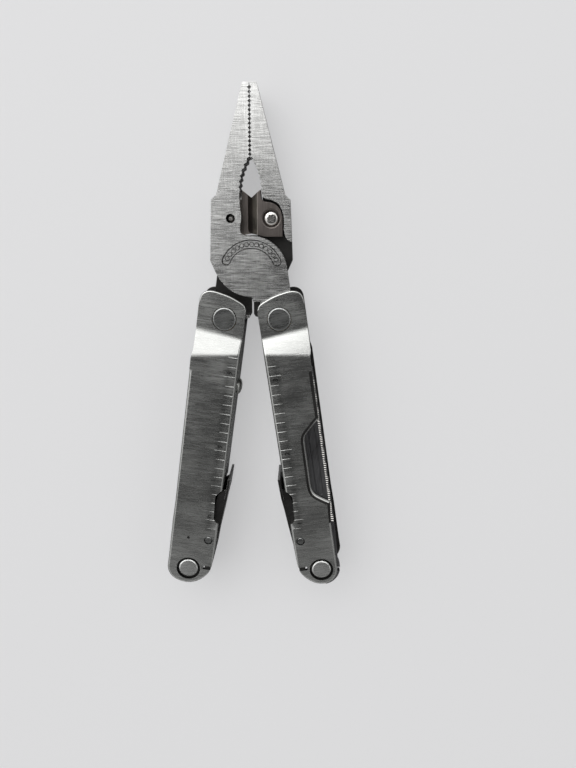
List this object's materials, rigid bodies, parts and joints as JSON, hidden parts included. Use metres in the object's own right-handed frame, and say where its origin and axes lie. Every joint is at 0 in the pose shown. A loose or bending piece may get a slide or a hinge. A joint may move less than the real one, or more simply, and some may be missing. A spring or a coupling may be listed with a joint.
{
  "type": "multi tool",
  "caption": "Stainless pliers multi-tool with needle-nose jaws, wire cutter inserts and folding blades, files and drivers held in two channel handles with lock levers.",
  "frame": {"origin": "on the surface that the tool lies on, under the middle of its box", "axes": "+X to the right handle, +Y to the jaw tips, +Z out of the front face"},
  "size_m": [0.0608, 0.1624, 0.0172],
  "materials": {
    "jaw_steel": "satin, brushed across the jaws",
    "handle_steel": "satin, brushed across the handles",
    "pin_steel": "satin",
    "insert_steel": "dark oxide, satin",
    "screw_steel": "polished",
    "lever_steel": "satin",
    "spring_steel": "satin",
    "washer_bronze": "satin",
    "blade_steel": "satin ground"
  },
  "bodies": {
    "front_jaw": {"jaw_front_half": "jaw_steel", "pliers_rivet": "pin_steel", "cutter_insert_rear": "insert_steel", "cutter_screw_rear": "screw_steel"},
    "rear_jaw": {"jaw_rear_half": "jaw_steel", "cutter_insert_front": "insert_steel", "cutter_screw_front": "screw_steel"},
    "left_handle": {"left_handle_shell": "handle_steel", "left_stop_stud": "pin_steel", "left_pliers_pin": "pin_steel", "left_pivot_washer_a": "washer_bronze", "left_pivot_washer_b": "washer_bronze", "left_tool_pin": "pin_steel", "left_tool_washer_1": "washer_bronze", "left_tool_washer_2": "washer_bronze", "left_tool_washer_3": "washer_bronze", "left_tool_washer_4": "washer_bronze", "left_lever_pin": "pin_steel", "left_lever_spring": "spring_steel"},
    "left_lock_lever": {"left_lock_lever": "lever_steel"},
    "left_saw": {"left_saw": "blade_steel"},
    "left_phillips_driver": {"left_phillips_driver": "blade_steel"},
    "left_awl": {"left_awl": "blade_steel"},
    "left_lanyard_ring": {"left_lanyard_ring": "blade_steel"},
    "left_knife_blade": {"left_knife_blade": "blade_steel"},
    "right_handle": {"right_handle_shell": "handle_steel", "right_pliers_pin": "pin_steel", "right_pivot_washer_a": "washer_bronze", "right_pivot_washer_b": "washer_bronze", "right_tool_pin": "pin_steel", "right_tool_washer_1": "washer_bronze", "right_tool_washer_2": "washer_bronze", "right_tool_washer_3": "washer_bronze", "right_tool_washer_4": "washer_bronze", "right_lever_pin": "pin_steel", "right_lever_spring": "spring_steel"},
    "right_lock_lever": {"right_lock_lever": "lever_steel"},
    "right_serrated_knife": {"right_serrated_knife": "blade_steel"},
    "right_large_screwdriver": {"right_large_screwdriver": "blade_steel"},
    "right_small_screwdriver": {"right_small_screwdriver": "blade_steel"},
    "right_can_opener": {"right_can_opener": "blade_steel"},
    "right_metal_file": {"right_metal_file": "blade_steel"}
  },
  "joints": [
    {"name": "jaw_open", "type": "hinge", "parent": "front_jaw", "child": "rear_jaw", "pos_m": [0, 0.0259, 0.0086], "axis": [0, 0, 1], "range_deg": [-30, 0]},
    {"name": "left_handle_fold", "type": "hinge", "parent": "rear_jaw", "child": "left_handle", "pos_m": [-0.0087, 0.0114, 0.0086], "axis": [0, 0, -1], "range_deg": [0, 171.8]},
    {"name": "left_lever_press", "type": "hinge", "parent": "left_handle", "child": "left_lock_lever", "pos_m": [-0.01585, -0.06486, 0.0086], "axis": [0, 0, 1], "range_deg": [0, 3.5], "stiffness_Nm_per_rad": 0.05},
    {"name": "left_saw_open", "type": "hinge", "parent": "left_handle", "child": "left_saw", "pos_m": [-0.02315, -0.07553, 0.0086], "axis": [0, 0, 1], "range_deg": [0, 180]},
    {"name": "left_phillips_driver_open", "type": "hinge", "parent": "left_handle", "child": "left_phillips_driver", "pos_m": [-0.02315, -0.07553, 0.0086], "axis": [0, 0, 1], "range_deg": [0, 180]},
    {"name": "left_awl_open", "type": "hinge", "parent": "left_handle", "child": "left_awl", "pos_m": [-0.02315, -0.07553, 0.0086], "axis": [0, 0, 1], "range_deg": [0, 180]},
    {"name": "left_lanyard_ring_open", "type": "hinge", "parent": "left_handle", "child": "left_lanyard_ring", "pos_m": [-0.02315, -0.07553, 0.0086], "axis": [0, 0, 1], "range_deg": [0, 180]},
    {"name": "left_knife_blade_open", "type": "hinge", "parent": "left_handle", "child": "left_knife_blade", "pos_m": [-0.02315, -0.07553, 0.0086], "axis": [0, 0, 1], "range_deg": [0, 180]},
    {"name": "right_handle_fold", "type": "hinge", "parent": "front_jaw", "child": "right_handle", "pos_m": [0.0087, 0.0114, 0.0086], "axis": [0, 0, 1], "range_deg": [0, 171.8]},
    {"name": "right_lever_press", "type": "hinge", "parent": "right_handle", "child": "right_lock_lever", "pos_m": [0.01585, -0.06486, 0.0086], "axis": [0, 0, -1], "range_deg": [0, 3.5], "stiffness_Nm_per_rad": 0.05},
    {"name": "right_serrated_knife_open", "type": "hinge", "parent": "right_handle", "child": "right_serrated_knife", "pos_m": [0.02315, -0.07553, 0.0086], "axis": [0, 0, -1], "range_deg": [0, 180]},
    {"name": "right_large_screwdriver_open", "type": "hinge", "parent": "right_handle", "child": "right_large_screwdriver", "pos_m": [0.02315, -0.07553, 0.0086], "axis": [0, 0, -1], "range_deg": [0, 180]},
    {"name": "right_small_screwdriver_open", "type": "hinge", "parent": "right_handle", "child": "right_small_screwdriver", "pos_m": [0.02315, -0.07553, 0.0086], "axis": [0, 0, -1], "range_deg": [0, 180]},
    {"name": "right_can_opener_open", "type": "hinge", "parent": "right_handle", "child": "right_can_opener", "pos_m": [0.02315, -0.07553, 0.0086], "axis": [0, 0, -1], "range_deg": [0, 180]},
    {"name": "right_metal_file_open", "type": "hinge", "parent": "right_handle", "child": "right_metal_file", "pos_m": [0.02315, -0.07553, 0.0086], "axis": [0, 0, -1], "range_deg": [0, 180]}
  ]
}
